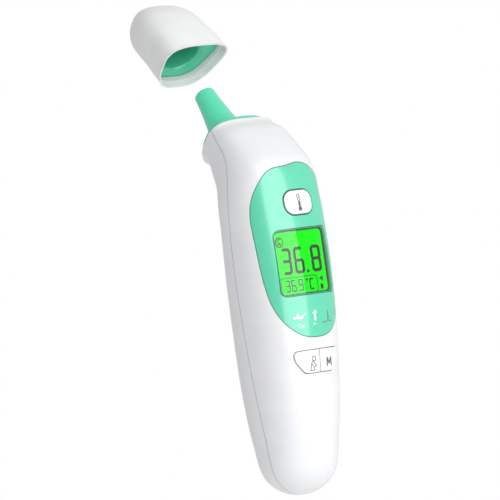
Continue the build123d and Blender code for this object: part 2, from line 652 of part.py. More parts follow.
# ---- battery bay -------------------------------------------------------------------------------
cell_top = CELL_LOW + CELL_LENGTH
tray_low, tray_high = CELL_LOW - 1.4, cell_top + NUB_LENGTH + 1.4
with BuildPart() as battery_tray:
    add(block(-12.4, 12.4, TRAY_FRONT, TRAY_BACK, tray_low, tray_high))
    add(content_form, mode=Mode.INTERSECT)
    for side in (-1, 1):
        with BuildSketch(Plane.XY.offset(CELL_LOW - 0.5)):
            with Locations((side * CELL_X, CELL_Y)):
                Circle(CELL_RADIUS + 0.1)
            with Locations((side * CELL_X, CELL_Y + 10)):
                Rectangle(2 * CELL_RADIUS + 0.2, 20)
        extrude(amount=CELL_LENGTH + NUB_LENGTH + 1.0, mode=Mode.SUBTRACT)
    add(block(-8.8, 8.8, -1.7, 5.2, CELL_LOW - 0.5, CELL_LOW), mode=Mode.SUBTRACT)
    add(pins(SCREW_PLACES, BOSS_RADIUS + SLIP, TRAY_FRONT, TRAY_BACK), mode=Mode.SUBTRACT)
battery_tray.part.label = "battery_tray"
export_step(battery_tray.part, "parts/battery_tray.step")


def cell(side, nub_up):
    """One round cell, its nub at the top or at the bottom."""
    low = CELL_LOW if nub_up else CELL_LOW + NUB_LENGTH
    nub_low = low + CELL_LENGTH if nub_up else CELL_LOW
    with BuildPart() as can:
        with BuildSketch(Plane.XY.offset(low)):
            with Locations((side * CELL_X, CELL_Y)):
                Circle(CELL_RADIUS)
        extrude(amount=CELL_LENGTH)
        fillet(can.edges().filter_by(GeomType.CIRCLE), 0.4)
        with BuildSketch(Plane.XY.offset(nub_low)):
            with Locations((side * CELL_X, CELL_Y)):
                Circle(NUB_RADIUS)
        extrude(amount=NUB_LENGTH)
    return can.part


with BuildPart() as battery_left:
    add(cell(-1, True))
battery_left.part.label = "battery_left"
export_step(battery_left.part, "parts/battery_left.step")

with BuildPart() as battery_right:
    add(cell(1, False))
battery_right.part.label = "battery_right"
export_step(battery_right.part, "parts/battery_right.step")

with BuildPart() as lower_contact:
    add(block(-8.6, 8.6, -1.5, 5.0, CELL_LOW - 0.45, CELL_LOW - 0.45 + CONTACT_THICK))
    fillet(lower_contact.edges().filter_by(Axis.Z), 1.0)
lower_contact.part.label = "lower_contact"
export_step(lower_contact.part, "parts/lower_contact.step")

with BuildPart() as upper_contacts:
    for side in (-1, 1):
        add(block(side * CELL_X - 3.6, side * CELL_X + 3.6, -1.5, 5.0,
                  cell_top + NUB_LENGTH + 0.1, cell_top + NUB_LENGTH + 0.1 + CONTACT_THICK))
upper_contacts.part.label = "upper_contacts"
export_step(upper_contacts.part, "parts/upper_contacts.step")

# ---- case screws -------------------------------------------------------------------------------
with BuildPart() as case_screws:
    add(pins(SCREW_PLACES, SCREW_RADIUS, SCREW_TIP, SCREW_SEAT))
    add(pins(SCREW_PLACES, SCREW_HEAD, SCREW_SEAT, SCREW_SEAT + 1.4))
    with BuildSketch(FRONT.offset(-SCREW_SEAT - 1.4)):
        with Locations(*SCREW_PLACES):
            Rectangle(2.2, 0.55)
            Rectangle(0.55, 2.2)
    extrude(amount=0.8, mode=Mode.SUBTRACT)
case_screws.part.label = "case_screws"
export_step(case_screws.part, "parts/case_screws.step")

# ---- probe cap: white shell with a tinted liner that has a pocket for the probe ----------------
with BuildPart() as cap_mouth:
    with BuildSketch(CAP_RIM.offset(-1)):
        with BuildLine():
            add(loop(ring(HEAD_WIDTH - CAP_LIP, HEAD_DEPTH - CAP_LIP, HEAD_SQUARE, HEAD_TAPER)))
        make_face()
    extrude(amount=LINER_EDGE)
with BuildPart() as cap_shell:
    add(cap_form(0))
    add(disc_bar(CAP.offset(RIM_FACE), REACH, 2 * REACH), mode=Mode.INTERSECT)
    add(cap_form(CAP_WALL), mode=Mode.SUBTRACT)
    add(cap_mouth.part, mode=Mode.SUBTRACT)
cap_shell.part.label = "cap_shell"
export_step(cap_shell.part, "parts/cap_shell.step")

with BuildPart() as bowl:
    with BuildSketch(CAP_SIDE):
        with BuildLine():
            wall = Spline((20, LINER_EDGE), (13.5, LINER_EDGE + 0.7), (9.4, LINER_EDGE + 1.7),
                          (7.6, LINER_EDGE + 3.2))
            Polyline(wall @ 1, (6.2, 13), (4.3, POCKET_FLOOR), (0, POCKET_FLOOR),
                     (0, -2), (20, -2), wall @ 0)
        make_face()
    revolve(axis=Axis(CAP.origin, PROBE_DIRECTION))
with BuildPart() as liner_hollow:
    add(cap_form(CAP_WALL + SLIP + 1.0))
    with BuildSketch(CAP_SIDE):
        with BuildLine():
            Polyline((0, 0), (30, 0), (30, LINER_EDGE + 1.4), (13.5, LINER_EDGE + 2.0),
                     (9.6, LINER_EDGE + 3.0), (7.6 + POCKET_WALL, LINER_EDGE + 4.4),
                     (6.2 + POCKET_WALL, 13), (4.3 + POCKET_WALL, POCKET_FLOOR + POCKET_WALL),
                     (0, POCKET_FLOOR + POCKET_WALL), (0, 0))
        make_face()
    revolve(axis=Axis(CAP.origin, PROBE_DIRECTION), mode=Mode.SUBTRACT)
with BuildPart() as cap_liner:
    add(cap_form(CAP_WALL + SLIP))
    add(disc_bar(CAP, 40, LINER_EDGE), mode=Mode.SUBTRACT)
    add(bowl.part, mode=Mode.SUBTRACT)
    add(liner_hollow.part, mode=Mode.SUBTRACT)
cap_liner.part.label = "cap_liner"
export_step(cap_liner.part, "parts/cap_liner.step")
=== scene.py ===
from math import cos, pi, radians, sin, sqrt

import bmesh
import bpy
from mathutils import Matrix, Vector
from mathutils.bvhtree import BVHTree
from mathutils.geometry import tessellate_polygon


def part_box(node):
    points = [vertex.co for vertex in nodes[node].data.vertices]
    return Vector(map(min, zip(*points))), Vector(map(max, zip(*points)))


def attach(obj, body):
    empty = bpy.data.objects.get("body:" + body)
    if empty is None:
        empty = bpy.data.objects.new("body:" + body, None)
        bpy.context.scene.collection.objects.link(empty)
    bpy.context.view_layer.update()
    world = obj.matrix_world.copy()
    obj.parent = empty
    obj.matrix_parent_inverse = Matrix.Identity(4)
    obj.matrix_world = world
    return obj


# Digital ear thermometer with its probe cap pulled off along the probe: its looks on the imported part.
# Metres. +Z runs up the handle, -Y is the display side.

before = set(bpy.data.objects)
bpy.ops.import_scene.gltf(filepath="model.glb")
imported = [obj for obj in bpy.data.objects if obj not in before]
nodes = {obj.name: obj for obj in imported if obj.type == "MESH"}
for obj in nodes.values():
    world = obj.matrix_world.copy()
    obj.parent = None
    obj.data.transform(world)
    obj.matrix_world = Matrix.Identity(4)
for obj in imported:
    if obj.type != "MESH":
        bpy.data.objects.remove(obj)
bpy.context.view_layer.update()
MM = 0.001
DISPLAY_LOW, DISPLAY_HIGH = 72, 98      # lower and upper ends of the display glass, in millimetres
PRINT_LIFT, PRINT_THICK = 0.05, 0.03    # printed marks stand this far off a surface, in millimetres

# ---- materials -----------------------------------------------------------------------------------


def linear(value):
    """One colour channel from 0 to 255 as the shader's linear light."""
    share = value / 255
    return share / 12.92 if share <= 0.04045 else ((share + 0.055) / 1.055) ** 2.4


def tint(red, green, blue):
    return (linear(red), linear(green), linear(blue), 1.0)


class Surface:
    """A material being built: a principled shader, with helpers for the nodes that feed it."""

    def __init__(self, name):
        self.material = bpy.data.materials.new(name)
        self.material.use_nodes = True
        self.tree = self.material.node_tree
        self.tree.nodes.clear()
        self.output = self.tree.nodes.new("ShaderNodeOutputMaterial")
        self.shader = self.tree.nodes.new("ShaderNodeBsdfPrincipled")
        self.link(self.shader, "BSDF", self.output, "Surface")
        self.place = self.tree.nodes.new("ShaderNodeTexCoord")

    def link(self, source, out_name, target, in_name):
        self.tree.links.new(source.outputs[out_name], target.inputs[in_name])

    def node(self, kind, **values):
        made = self.tree.nodes.new(kind)
        for key, value in values.items():
            setattr(made, key, value)
        return made

    def noise(self, size_mm, detail=3.0, roughness=0.55, stretch=(1, 1, 1)):
        """Noise whose features are about size_mm across."""
        mapping = self.node("ShaderNodeMapping")
        mapping.inputs["Scale"].default_value = stretch
        self.link(self.place, "Object", mapping, "Vector")
        made = self.node("ShaderNodeTexNoise")
        made.inputs["Scale"].default_value = 1 / (size_mm * MM)
        made.inputs["Detail"].default_value = detail
        made.inputs["Roughness"].default_value = roughness
        self.link(mapping, "Vector", made, "Vector")
        return made

    def colours(self, source, low, high, start=0.3, end=0.7):
        """The base colour runs from low to high with the noise."""
        ramp = self.node("ShaderNodeValToRGB")
        ramp.color_ramp.elements[0].color = low
        ramp.color_ramp.elements[0].position = start
        ramp.color_ramp.elements[1].color = high
        ramp.color_ramp.elements[1].position = end
        self.link(source, "Fac", ramp, "Fac")
        self.link(ramp, "Color", self.shader, "Base Color")
        return ramp

    def paint_crevice_shade(self, reach_mm, floor):
        """Painted shade: darkens the base colour in gaps and hollows by ambient occlusion, down to a share
        of floor.
        """
        colour = self.shader.inputs["Base Color"].links[0].from_socket
        open_sky = self.node("ShaderNodeAmbientOcclusion", samples=8)
        open_sky.inputs["Distance"].default_value = reach_mm * MM
        share = self.node("ShaderNodeMapRange")
        share.inputs["From Min"].default_value, share.inputs["From Max"].default_value = 0.1, 0.75
        share.inputs["To Min"].default_value = floor
        self.link(open_sky, "AO", share, "Value")
        painted_shade = self.node("ShaderNodeMix", data_type="RGBA", blend_type="MULTIPLY")
        painted_shade.inputs["Factor"].default_value = 1.0
        colour_in = [socket for socket in painted_shade.inputs if socket.type == "RGBA"]
        colour_out = [socket for socket in painted_shade.outputs if socket.type == "RGBA"]
        self.tree.links.new(colour, colour_in[0])
        self.tree.links.new(share.outputs["Result"], colour_in[1])
        self.tree.links.new(colour_out[0], self.shader.inputs["Base Color"])

    def roughness(self, source, low, high):
        spread = self.node("ShaderNodeMapRange")
        spread.inputs["From Min"].default_value = 0.3
        spread.inputs["From Max"].default_value = 0.7
        spread.inputs["To Min"].default_value = low
        spread.inputs["To Max"].default_value = high
        self.link(source, "Fac", spread, "Value")
        self.link(spread, "Result", self.shader, "Roughness")

    def relief(self, sources, soften_mm=0.0):
        """Bump from (node, output name, height in mm), over edges softened by soften_mm."""
        last = None
        if soften_mm:
            last = self.node("ShaderNodeBevel", samples=4)
            last.inputs["Radius"].default_value = soften_mm * MM
        for source, out_name, height_mm in sources:
            bump = self.node("ShaderNodeBump")
            bump.inputs["Strength"].default_value = 1.0
            bump.inputs["Distance"].default_value = height_mm * MM
            self.link(source, out_name, bump, "Height")
            if last:
                self.link(last, "Normal", bump, "Normal")
            last = bump
        self.link(last, "Normal", self.shader, "Normal")
        if "Coat Normal" in self.shader.inputs and soften_mm:
            self.link(last, "Normal", self.shader, "Coat Normal")

    def set(self, **values):
        for key, value in values.items():
            self.shader.inputs[key.replace("_", " ")].default_value = value
        return self


def shade(colour, factor):
    return tuple(min(1.0, channel * factor) for channel in colour[:3]) + (1.0,)


def moulded(name, colour, rough, coat=0.0, coat_rough=0.08, grain=0.0012, soften=0.25, crevice_shade=None):
    """Moulded plastic: a soft mottle in its colour and gloss, a fine grain, and painted shade darkening its
    crevices and hollows.
    """
    made = Surface(name)
    mottle = made.noise(9.0, 4)
    fine = made.noise(0.35, 2)
    ripple = made.noise(14.0, 1)
    made.colours(mottle, shade(colour, 0.98), shade(colour, 1.02))
    made.roughness(fine, rough * 0.9, rough * 1.12)
    made.relief([(fine, "Fac", grain), (ripple, "Fac", grain * 6)], soften)
    made.set(Coat_Weight=coat, Coat_Roughness=coat_rough, IOR=1.49)
    # painted shade: the base colour darkened in crevices and hollows
    if crevice_shade:
        made.paint_crevice_shade(*crevice_shade)
    return made.material


def metal(name, colour, rough, brushed=(1, 1, 1)):
    """Plated or drawn metal, with fine marks and slight tarnish."""
    made = Surface(name)
    marks = made.noise(0.3, 4, 0.6, brushed)
    tarnish = made.noise(5.0, 3)
    made.colours(tarnish, shade(colour, 0.86), shade(colour, 1.05))
    made.roughness(marks, rough * 0.75, rough * 1.35)
    made.relief([(marks, "Fac", 0.003)], 0.12)
    made.set(Metallic=1.0)
    return made.material


# crevice settings paint shade into the seams of shells and keys, the inside of the cap, round the probe and
# in the liner's pocket
shell_white = moulded("shell_white", tint(243, 243, 244), 0.36, coat=0.25, coat_rough=0.16, soften=0.35,
                      crevice_shade=(1.2, 0.3))
cap_white = moulded("cap_white", tint(243, 243, 243), 0.42, coat=0.15, coat_rough=0.2, soften=0.5,
                    crevice_shade=(9.0, 0.5))
key_white = moulded("key_white", tint(247, 247, 248), 0.34, coat=0.3, coat_rough=0.15, soften=0.3,
                    crevice_shade=(1.0, 0.3))
panel_mint = moulded("panel_mint", tint(98, 218, 178), 0.3, coat=0.5, coat_rough=0.03, soften=0.3)
probe_mint = moulded("probe_mint", tint(92, 232, 188), 0.24, coat=0.6, coat_rough=0.08, soften=0.2,
                     crevice_shade=(4.0, 0.5))
liner_mint = moulded("liner_mint", tint(72, 196, 156), 0.3, coat=0.5, coat_rough=0.1, soften=0.25,
                     crevice_shade=(14.0, 0.5))
frame_mint = moulded("frame_mint", tint(48, 84, 66), 0.5, soften=0.15)
chip_black = moulded("chip_black", tint(28, 28, 30), 0.55, grain=0.004, soften=0.08)
switch_black = moulded("switch_black", tint(35, 33, 31), 0.45, soften=0.1)
socket_cream = moulded("socket_cream", tint(236, 229, 208), 0.5, soften=0.1)
strip_rubber = moulded("strip_rubber", tint(58, 58, 60), 0.75, grain=0.006)
tray_dark = moulded("tray_dark", tint(70, 74, 78), 0.5, grain=0.004, soften=0.2)
backlight_white = moulded("backlight_white", tint(238, 244, 236), 0.6, soften=0.1)
switch_steel = metal("switch_steel", tint(196, 198, 201), 0.34, (1, 1, 6))
screw_steel = metal("screw_steel", tint(190, 192, 198), 0.3)
contact_steel = metal("contact_steel", tint(214, 214, 212), 0.26, (1, 1, 8))
barrel_brass = metal("barrel_brass", tint(212, 176, 110), 0.24, (1, 1, 6))
sensor_can = metal("sensor_can", tint(216, 216, 220), 0.18)


def circuit_board():
    """Green solder mask with the copper tracks showing through as a raised maze."""
    made = Surface("board_green")
    tracks = made.node("ShaderNodeTexBrick", offset=0.5)
    made.link(made.place, "Object", tracks, "Vector")
    tracks.inputs["Scale"].default_value = 420.0
    tracks.inputs["Mortar Size"].default_value = 0.035
    tracks.inputs["Color1"].default_value = tint(14, 84, 44)
    tracks.inputs["Color2"].default_value = tint(18, 96, 50)
    tracks.inputs["Mortar"].default_value = tint(44, 138, 74)
    fine = made.noise(0.2, 2)
    made.link(tracks, "Color", made.shader, "Base Color")
    made.roughness(fine, 0.28, 0.4)
    made.relief([(tracks, "Fac", 0.03), (fine, "Fac", 0.003)], 0.1)
    made.set(Coat_Weight=0.5, Coat_Roughness=0.1)
    return made.material


def banded(name, body, band, bands, rough, metallic=0.0):
    """Colour in bands up Z: (low z, high z) in millimetres take the band's colour."""
    made = Surface(name)
    split = made.node("ShaderNodeSeparateXYZ")
    made.link(made.place, "Object", split, "Vector")
    total = None
    for low, high in bands:
        above = made.node("ShaderNodeMath", operation="GREATER_THAN")
        below = made.node("ShaderNodeMath", operation="LESS_THAN")
        above.inputs[1].default_value, below.inputs[1].default_value = low * MM, high * MM
        made.link(split, "Z", above, "Value")
        made.link(split, "Z", below, "Value")
        both = made.node("ShaderNodeMath", operation="MULTIPLY")
        made.tree.links.new(above.outputs[0], both.inputs[0])
        made.tree.links.new(below.outputs[0], both.inputs[1])
        if total:
            joined = made.node("ShaderNodeMath", operation="MAXIMUM")
            made.tree.links.new(total.outputs[0], joined.inputs[0])
            made.tree.links.new(both.outputs[0], joined.inputs[1])
            both = joined
        total = both
    mix = made.node("ShaderNodeMix", data_type="RGBA")
    mix.inputs["A"].default_value, mix.inputs["B"].default_value = body, band
    made.tree.links.new(total.outputs[0], mix.inputs["Factor"])
    made.tree.links.new(mix.outputs["Result"], made.shader.inputs["Base Color"])
    fine = made.noise(0.4, 3)
    made.roughness(fine, rough * 0.85, rough * 1.2)
    made.relief([(fine, "Fac", 0.002)], 0.15)
    made.set(Metallic=metallic, Coat_Weight=0.4)
    return made.material


def component_parts():
    """Small fired components: each its own shade."""
    made = Surface("component_tan")
    cells = made.node("ShaderNodeTexVoronoi")
    made.link(made.place, "Object", cells, "Vector")
    cells.inputs["Scale"].default_value = 300.0
    mix = made.node("ShaderNodeMix", data_type="RGBA")
    mix.inputs["A"].default_value, mix.inputs["B"].default_value = tint(120, 92, 62), tint(60, 56, 52)
    made.link(cells, "Distance", mix, "Factor")
    made.tree.links.new(mix.outputs["Result"], made.shader.inputs["Base Color"])
    made.relief([(made.noise(0.3, 2), "Fac", 0.004)], 0.06)
    made.set(Roughness=0.4)
    return made.material


def flat_cable():
    """Ribbon cable: grey insulation with the wires as ridges along it."""
    made = Surface("cable_grey")
    split = made.node("ShaderNodeSeparateXYZ")
    made.link(made.place, "Object", split, "Vector")
    ridge = made.node("ShaderNodeMath", operation="SINE")
    times = made.node("ShaderNodeMath", operation="MULTIPLY")
    times.inputs[1].default_value = 2 * pi / (0.95 * MM)
    made.link(split, "X", times, "Value")
    made.tree.links.new(times.outputs[0], ridge.inputs[0])
    fine = made.noise(0.5, 2)
    made.colours(fine, tint(150, 153, 158), tint(176, 178, 182))
    made.relief([(ridge, "Value", 0.06), (fine, "Fac", 0.003)])
    made.set(Roughness=0.42)
    return made.material


def window_clear():
    """Thin clear window: it only adds its own reflection to what is behind it."""
    made = Surface("window_clear")
    made.tree.nodes.remove(made.shader)
    clear = made.node("ShaderNodeBsdfTransparent")
    gloss = made.node("ShaderNodeBsdfGlossy")
    smear = made.noise(6.0, 3)
    rough = made.node("ShaderNodeMapRange")
    rough.inputs["To Min"].default_value, rough.inputs["To Max"].default_value = 0.01, 0.04
    made.link(smear, "Fac", rough, "Value")
    made.link(rough, "Result", gloss, "Roughness")
    fresnel = made.node("ShaderNodeFresnel")
    fresnel.inputs["IOR"].default_value = 1.5
    side = made.node("ShaderNodeNewGeometry")
    outside = made.node("ShaderNodeMath", operation="SUBTRACT")
    outside.inputs[0].default_value = 1.0
    made.link(side, "Backfacing", outside, 1)
    share = made.node("ShaderNodeMath", operation="MULTIPLY")
    made.link(fresnel, "Fac", share, 0)
    made.link(outside, 0, share, 1)
    mix = made.node("ShaderNodeMixShader")
    made.link(share, 0, mix, "Fac")
    made.tree.links.new(clear.outputs[0], mix.inputs[1])
    made.tree.links.new(gloss.outputs[0], mix.inputs[2])
    made.tree.links.new(mix.outputs[0], made.output.inputs["Surface"])
    return made.material


def lit_display(name, colour, strength, falloff):
    """Backlit display glass: a glow that weakens a little away from the lamps along its lower edge."""
    made = Surface(name)
    split = made.node("ShaderNodeSeparateXYZ")
    made.link(made.place, "Object", split, "Vector")
    fade = made.node("ShaderNodeMapRange")
    fade.inputs["From Min"].default_value = DISPLAY_LOW * MM
    fade.inputs["From Max"].default_value = DISPLAY_HIGH * MM
    fade.inputs["To Min"].default_value, fade.inputs["To Max"].default_value = strength, strength * falloff
    made.link(split, "Z", fade, "Value")
    cells = made.noise(0.25, 1)
    made.colours(cells, shade(colour, 0.01), shade(colour, 0.03))
    made.link(fade, "Result", made.shader, "Emission Strength")
    made.set(Emission_Color=colour, Roughness=0.3, Specular_IOR_Level=0.0)
    return made.material


def printed(name, colour, rough=0.5):
    """Screen-printed ink, slightly uneven at its own fine scale."""
    made = Surface(name)
    speck = made.noise(0.12, 2)
    made.colours(speck, shade(colour, 0.93), shade(colour, 1.05))
    made.relief([(speck, "Fac", 0.002)])
    made.set(Roughness=rough)
    return made.material


board_green = circuit_board()
component_tan = component_parts()
cable_grey = flat_cable()
clear_window = window_clear()
lcd_green = lit_display("lcd_green", (0.0, 1.0, 0.0, 1.0), 1.0, 0.98)
cell_sleeve = banded("cell_sleeve", tint(34, 120, 98), tint(214, 216, 214), [(20, 24), (61.5, 66)], 0.3, 0.4)
sensor_film = moulded("sensor_film", tint(70, 62, 82), 0.12, coat=1.0, coat_rough=0.02)
ink_black = printed("ink_black", tint(10, 16, 10), 0.4)
ink_grey = printed("ink_grey", tint(96, 98, 102))
ink_faint = printed("ink_faint", tint(118, 132, 126))
ink_white = printed("ink_white", tint(250, 252, 252))
# dark line material made like ink: the line round the display window, and painted shade in the gap round the
# scan key
border_and_gap_shade = printed("border_and_gap_shade", tint(34, 62, 52), 0.7)

FINISHES = {
    "front_shell": shell_white, "rear_shell": shell_white, "battery_cover": shell_white,
    "front_panel": panel_mint, "head_plate": panel_mint, "ear_probe": probe_mint,
    "display_window": clear_window, "scan_key": key_white, "age_key": key_white,
    "memory_key": key_white, "tact_switches": switch_steel, "scan_switch_button": switch_black,
    "age_switch_button": switch_black, "memory_switch_button": switch_black,
    "main_board": board_green, "sensor_board": board_green, "processor_chip": chip_black,
    "board_components": component_tan, "buzzer": chip_black, "sensor_socket": socket_cream,
    "board_screws": screw_steel, "case_screws": screw_steel, "lcd_glass": lcd_green,
    "backlight": backlight_white, "contact_strips": strip_rubber, "lcd_frame": frame_mint,
    "sensor_window": sensor_film, "sensor_barrel": barrel_brass, "thermopile_sensor": sensor_can,
    "sensor_cable": cable_grey, "battery_tray": tray_dark, "battery_left": cell_sleeve,
    "battery_right": cell_sleeve, "lower_contact": contact_steel, "upper_contacts": contact_steel,
    "cap_shell": cap_white, "cap_liner": liner_mint,
}
for node_name, finish in FINISHES.items():
    nodes[node_name].data.materials.clear()
    nodes[node_name].data.materials.append(finish)

# ---- printed marks: flat shapes laid on the CAD surfaces -----------------------------------------


def surface_of(names):
    """The outside of some CAD nodes, to lay printed marks on."""
    points, faces = [], []
    for name in names:
        mesh = nodes[name].data
        start = len(points)
        points += [vertex.co.copy() for vertex in mesh.vertices]
        faces += [[start + index for index in face.vertices] for face in mesh.polygons]
    return BVHTree.FromPolygons(points, faces)


def laid(name, shapes, surface, body, material, flat_y=None):
    """Lays front-view shapes, each a closed outline in (x, z) mm, on a surface as thin print."""
    built = bmesh.new()
    for outline in shapes:
        rings = [Vector((x, 0, z)) for x, z in outline]
        corners = [built.verts.new(point) for point in rings]
        for triangle in tessellate_polygon([rings]):
            built.faces.new([corners[index] for index in triangle])
    bmesh.ops.recalc_face_normals(built, faces=built.faces)
    long_edges = [edge for edge in built.edges if edge.calc_length() > 1.2]
    bmesh.ops.subdivide_edges(built, edges=long_edges, cuts=3, use_grid_fill=False)
    bmesh.ops.triangulate(built, faces=built.faces)
    for vertex in built.verts:
        place = Vector((vertex.co.x * MM, 0, vertex.co.z * MM))
        if flat_y is None:
            hit = surface.ray_cast(place + Vector((0, -0.08, 0)), Vector((0, 1, 0)))
            place = hit[0] + Vector((0, -PRINT_LIFT * MM, 0))
        else:
            place.y = flat_y * MM
        vertex.co = place
    for face in built.faces:
        if face.normal.y > 0:
            face.normal_flip()
    mesh = bpy.data.meshes.new(name)
    built.to_mesh(mesh)
    built.free()
    piece = bpy.data.objects.new(name, mesh)
    bpy.context.scene.collection.objects.link(piece)
    mesh.materials.append(material)
    thick = piece.modifiers.new("thickness", "SOLIDIFY")
    thick.thickness = PRINT_THICK * MM
    thick.offset = 1.0
    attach(piece, body)
    return piece


def stroke(points, width, closed=False):
    """Bars along a line, with round joints: outlines for laid()."""
    shapes = []
    runs = list(zip(points, points[1:] + points[:1])) if closed else list(zip(points, points[1:]))
    for (x0, z0), (x1, z1) in runs:
        length = sqrt((x1 - x0) ** 2 + (z1 - z0) ** 2)
        side_x, side_z = -(z1 - z0) / length * width / 2, (x1 - x0) / length * width / 2
        shapes.append([(x0 + side_x, z0 + side_z), (x0 - side_x, z0 - side_z),
                       (x1 - side_x, z1 - side_z), (x1 + side_x, z1 + side_z)])
    for x, z in points:
        shapes.append(round_spot(x, z, width / 2, 10))
    return shapes


def dense(points, step=0.8):
    """A closed outline with extra points, so that its print follows a curved surface."""
    filled = []
    for (x0, z0), (x1, z1) in zip(points, points[1:] + points[:1]):
        cuts = max(1, int(max(abs(x1 - x0), abs(z1 - z0)) / step))
        filled += [(x0 + (x1 - x0) * k / cuts, z0 + (z1 - z0) * k / cuts) for k in range(cuts)]
    return filled


def round_spot(x, z, radius, sides=20):
    return [(x + radius * cos(2 * pi * k / sides), z + radius * sin(2 * pi * k / sides))
            for k in range(sides)]


def arc(x, z, radius_x, radius_z, start, end, steps=14):
    return [(x + radius_x * cos(radians(start + (end - start) * k / steps)),
             z + radius_z * sin(radians(start + (end - start) * k / steps))) for k in range(steps + 1)]


def moved(shapes, x, z):
    return [[(x + px, z + pz) for px, pz in outline] for outline in shapes]


SEGMENTS = {"3": "abcdg", "6": "acdefg", "8": "abcdefg", "9": "abcdfg", "C": "adef"}
SEGMENT_GAP = -0.18         # gap at a bar's end in bar thicknesses; below zero the ends overlap


def digit(symbol, width, height, thick):
    """One seven-segment figure with its lower left corner at the origin."""
    half, gap, tip = height / 2, thick * SEGMENT_GAP, thick / 2

    def level(z):
        return [(tip + gap, z), (thick + gap, z + tip), (width - thick - gap, z + tip),
                (width - tip - gap, z), (width - thick - gap, z - tip), (thick + gap, z - tip)]

    def upright(x, low, high):
        return [(x, low + gap), (x + tip, low + gap + tip), (x + tip, high - gap - tip),
                (x, high - gap), (x - tip, high - gap - tip), (x - tip, low + gap + tip)]

    bars = {"a": level(height - tip), "g": level(half), "d": level(tip),
            "f": upright(tip, half, height - tip), "b": upright(width - tip, half, height - tip),
            "e": upright(tip, tip, half), "c": upright(width - tip, tip, half)}
    return [bars[name] for name in SEGMENTS[symbol]]


LCD_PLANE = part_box("lcd_glass")[0].y / MM - 0.04


def on_display(name, shapes):
    return laid(name, shapes, None, "housing", ink_black, flat_y=LCD_PLANE)


# big reading
BIG_FIGURE, BIG_LOW = (4.6, 9.9, 1.2), 80.75
on_display("reading_tens", moved(digit("3", *BIG_FIGURE), -8.45, BIG_LOW))
on_display("reading_units", moved(digit("6", *BIG_FIGURE), -2.65, BIG_LOW))
on_display("reading_point", [round_spot(3.25, 81.4, 0.62)])
on_display("reading_tenths", moved(digit("8", *BIG_FIGURE), 5.35, BIG_LOW))

# small reading in its box, with the unit
SMALL_FIGURE, SMALL_LOW = (2.2, 4.4, 0.5), 74.4
small = moved(digit("3", *SMALL_FIGURE), -8.3, SMALL_LOW)
small += moved(digit("6", *SMALL_FIGURE), -5.5, SMALL_LOW)
small += [round_spot(-2.75, 74.65, 0.26)]
small += moved(digit("9", *SMALL_FIGURE), -2.1, SMALL_LOW)
on_display("small_reading", small)
on_display("degree_mark", stroke(round_spot(2.0, 78.3, 0.36, 14), 0.32, True))
on_display("unit_letter", moved(digit("C", 2.3, 4.3, 0.65), 3.0, SMALL_LOW))


def rounded_box(x_low, x_high, z_low, z_high, corner):
    return (arc(x_high - corner, z_high - corner, corner, corner, 0, 90, 6)
            + arc(x_low + corner, z_high - corner, corner, corner, 90, 180, 6)
            + arc(x_low + corner, z_low + corner, corner, corner, 180, 270, 6)
            + arc(x_high - corner, z_low + corner, corner, corner, 270, 360, 6))


on_display("reading_box", stroke(rounded_box(-10.2, 6.8, 73.5, 79.6, 1.2), 0.3, True))

# person in a circle, speaker and battery marks
circle_mark = stroke(arc(-8.4, 92.9, 1.75, 1.75, 0, 345, 24), 0.45, True)
circle_mark += stroke(arc(-8.4, 93.3, 0.75, 0.75, 60, 300, 10), 0.42)
circle_mark += stroke([(-9.3, 91.9), (-8.6, 92.4), (-8.1, 91.9), (-7.6, 92.3)], 0.4)
on_display("person_mark", circle_mark)
speaker = [[(8.1, 77.7), (8.6, 77.7), (9.5, 76.9), (9.5, 79.3), (8.6, 78.5), (8.1, 78.5)]]
on_display("speaker_mark", speaker)
on_display("battery_mark", [[(8.0, 74.2), (9.3, 74.2), (9.3, 75.9), (8.95, 75.9), (8.95, 76.3),
                             (8.35, 76.3), (8.35, 75.9), (8.0, 75.9)]])

# marks printed on the front panel: lying baby, standing child, thermometer in a cup
panel_face = surface_of(["front_panel"])


def on_panel(name, shapes):
    return laid(name, shapes, panel_face, "housing", ink_white)


baby = [round_spot(-8.7, 64.75, 0.6)]
baby += stroke([(-7.75, 64.85), (-6.1, 64.75)], 1.1)
baby += stroke([(-7.4, 65.1), (-7.75, 66.0)], 0.5)
baby += stroke([(-6.1, 64.75), (-5.3, 65.6), (-4.65, 66.0)], 0.55)
on_panel("baby_mark", baby)
age_mark = stroke(arc(-7.2, 61.7, 0.6, 0.6, 40, 330, 12), 0.3) + stroke([(-6.4, 61.4), (-5.3, 61.4)], 0.28)
age_mark += stroke([(-5.85, 60.9), (-5.85, 62.1)], 0.28)
on_panel("baby_age_mark", age_mark)
child = [round_spot(-0.4, 66.4, 0.42)]
child += stroke([(-1.3, 66.0), (-0.5, 65.1), (0.4, 66.1)], 0.4)
child += stroke([(-0.5, 65.2), (-0.5, 64.2)], 0.95)
child += stroke([(-0.75, 64.1), (-0.75, 63.0)], 0.32) + stroke([(-0.25, 64.1), (-0.25, 63.0)], 0.32)
on_panel("child_mark", child)
child_age = stroke([(-1.5, 62.3), (-1.0, 61.7), (-1.5, 61.3)], 0.22)
child_age += stroke([(-0.6, 61.8), (0.1, 61.8)], 0.22)
on_panel("child_age_mark", child_age)
object_mark = [[(5.75, 63.2), (6.45, 63.2), (6.35, 64.9), (6.15, 66.2), (6.05, 66.2), (5.85, 64.9)]]
object_mark += stroke([(3.0, 62.0), (4.6, 61.9), (5.6, 62.7), (6.6, 62.2), (8.2, 62.3)], 0.34)
laid("object_mark", object_mark, panel_face, "housing", ink_faint)

# dark lines round the display window, open on its right side, and a dark line round the scan key that is
# painted shade in the gap round it
corners = rounded_box(-12.25, 12.25, 72.75, 97.25, 2.35)
border = stroke([point for point in dense(corners) if point[0] < 11.4], 0.26)
laid("display_border", border, panel_face, "housing", border_and_gap_shade)
# painted shade in the gap round the scan key
scan_gap_shade_line = stroke(dense(rounded_box(-6.6, 6.6, 101.9, 111.5, 4.0)), 0.26, True)
laid("scan_gap_shade", scan_gap_shade_line, panel_face, "housing", border_and_gap_shade)

